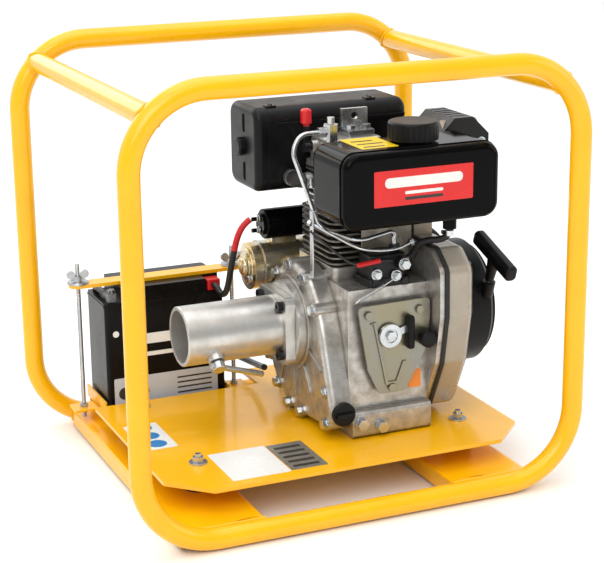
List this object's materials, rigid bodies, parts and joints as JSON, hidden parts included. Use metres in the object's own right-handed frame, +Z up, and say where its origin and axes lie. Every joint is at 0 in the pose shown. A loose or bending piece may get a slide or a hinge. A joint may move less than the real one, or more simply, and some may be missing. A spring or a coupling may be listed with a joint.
{
  "type": "engine drive unit",
  "caption": "Small air-cooled diesel engine with a drive tube, starter battery and fuel tank on a rubber-mounted plate inside a rounded tubular carrying frame.",
  "frame": {"origin": "on the ground under the centre of the carrying frame", "axes": "+X from the drive tube's mouth towards the recoil starter along the crankshaft, +Y towards the battery side, +Z up"},
  "size_m": [0.6148, 0.5162, 0.5709],
  "materials": {
    "frame_paint": "gloss",
    "zinc_steel": "satin",
    "cast_aluminium": "satin",
    "machined_aluminium": "satin",
    "black_paint": "gloss",
    "black_plastic": "satin",
    "shroud_paint": "satin",
    "rubber": "matte",
    "steel": "satin",
    "chromate_steel": "satin",
    "red_plastic": "gloss",
    "filter_paper": "matte"
  },
  "bodies": {
    "chassis": {"front_hoop": "frame_paint", "rear_hoop": "frame_paint", "upper_left_cross_tube": "frame_paint", "upper_right_cross_tube": "frame_paint", "left_cross_channel": "frame_paint", "right_cross_channel": "frame_paint", "rubber_mounts": "rubber", "plate_fasteners": "zinc_steel", "base_plate": "frame_paint", "crankcase": "cast_aluminium", "timing_cover": "cast_aluminium", "crankcase_bolts": "zinc_steel", "cylinder_barrel": "cast_aluminium", "cylinder_head": "cast_aluminium", "rocker_cover": "cast_aluminium", "injector": "zinc_steel", "lifting_bracket": "cast_aluminium", "drive_tube": "machined_aluminium", "adapter_ring": "machined_aluminium", "flange_screws": "black_paint", "shroud_seal": "rubber", "fan_shroud": "shroud_paint", "recoil_housing": "black_plastic", "starter_motor": "chromate_steel", "starter_solenoid": "black_paint", "air_cleaner_housing": "black_plastic", "filter_element": "filter_paper", "intake_elbow": "rubber", "muffler": "steel", "muffler_guard": "black_paint", "injection_pump": "black_paint", "injection_pipe": "zinc_steel", "fuel_tank": "black_paint", "tank_bracket": "black_paint", "fuel_hose": "rubber", "lever_plate": "chromate_steel", "battery_case": "black_plastic", "terminal_cover": "red_plastic", "battery_tray": "frame_paint", "hold_down_bar": "frame_paint", "hold_down_rods": "zinc_steel", "positive_lead": "rubber", "negative_lead": "rubber"},
    "rotor": {"crankshaft": "steel", "flywheel": "steel", "drive_coupling": "steel"},
    "recoil_reel": {"recoil_pulley": "black_plastic"},
    "pull_grip": {"pull_handle": "black_plastic", "pull_rope": "black_plastic"},
    "lock_shank": {"lock_screw": "zinc_steel"},
    "lock_bar": {"lock_handle": "zinc_steel"},
    "valve_lever": {"decompression_lever": "red_plastic"},
    "speed_control": {"speed_lever": "zinc_steel"},
    "stop_control": {"stop_knob": "black_plastic"},
    "tank_cap": {"fuel_cap": "black_plastic"},
    "oil_plug": {"oil_filler_plug": "black_plastic"},
    "cleaner_cover": {"air_cleaner_cover": "black_plastic"},
    "cleaner_knob": {"cover_knob": "black_plastic"},
    "left_wing": {"left_wing_nut": "zinc_steel"},
    "right_wing": {"right_wing_nut": "zinc_steel"}
  },
  "joints": [
    {"name": "crank_turn", "type": "hinge", "parent": "chassis", "child": "rotor", "pos_m": [0, 0, 0.1914], "axis": [1, 0, 0], "continuous": true},
    {"name": "reel_turn", "type": "hinge", "parent": "chassis", "child": "recoil_reel", "pos_m": [0.258, 0, 0.1914], "axis": [-1, 0, 0], "range_deg": [0, 87], "stiffness_Nm_per_rad": 0.3, "springref_deg": -34.38},
    {"name": "grip_pull", "type": "slide", "parent": "chassis", "child": "pull_grip", "axis": [0, -0.33, 0.944], "range_m": [0, 0.1]},
    {"name": "lock_shank_travel", "type": "slide", "parent": "chassis", "child": "lock_shank", "axis": [0, -0.7649, -0.6441], "range_m": [-0.00088, 0.00263]},
    {"name": "lock_bar_turn", "type": "hinge", "parent": "lock_shank", "child": "lock_bar", "pos_m": [-0.119, -0.03825, 0.15919], "axis": [0, -0.7649, -0.6441], "range_deg": [-180, 540]},
    {"name": "valve_lever_turn", "type": "hinge", "parent": "chassis", "child": "valve_lever", "pos_m": [0.029, 0.004, 0.428], "axis": [1, 0, 0], "range_deg": [-10, 28]},
    {"name": "speed_lever_turn", "type": "hinge", "parent": "chassis", "child": "speed_control", "pos_m": [0.088, -0.124, 0.196], "axis": [0, -1, 0], "range_deg": [-25, 20]},
    {"name": "stop_knob_pull", "type": "slide", "parent": "chassis", "child": "stop_control", "axis": [0, -1, 0], "range_m": [0, 0.008], "stiffness_N_per_m": 200, "springref_m": -0.004},
    {"name": "tank_cap_lift", "type": "slide", "parent": "chassis", "child": "tank_cap", "axis": [0, 0, 1], "range_m": [0, 0.06]},
    {"name": "oil_plug_out", "type": "slide", "parent": "chassis", "child": "oil_plug", "axis": [0, -1, 0], "range_m": [0, 0.03]},
    {"name": "cleaner_cover_off", "type": "slide", "parent": "chassis", "child": "cleaner_cover", "axis": [-1, 0, 0], "range_m": [0, 0.06]},
    {"name": "cleaner_knob_turn", "type": "hinge", "parent": "cleaner_cover", "child": "cleaner_knob", "pos_m": [-0.032, 0.09, 0.419], "axis": [1, 0, 0], "continuous": true},
    {"name": "left_wing_turn", "type": "hinge", "parent": "chassis", "child": "left_wing", "pos_m": [-0.24, 0.187, 0.236], "axis": [0, 0, 1], "continuous": true},
    {"name": "right_wing_turn", "type": "hinge", "parent": "chassis", "child": "right_wing", "pos_m": [-0.012, 0.187, 0.236], "axis": [0, 0, 1], "continuous": true}
  ],
  "couplings": [
    {"joint": "grip_pull", "follows": "reel_turn", "m_per_rad": 0.065764},
    {"joint": "lock_shank_travel", "follows": "lock_bar_turn", "m_per_rad": 0.0002785}
  ]
}
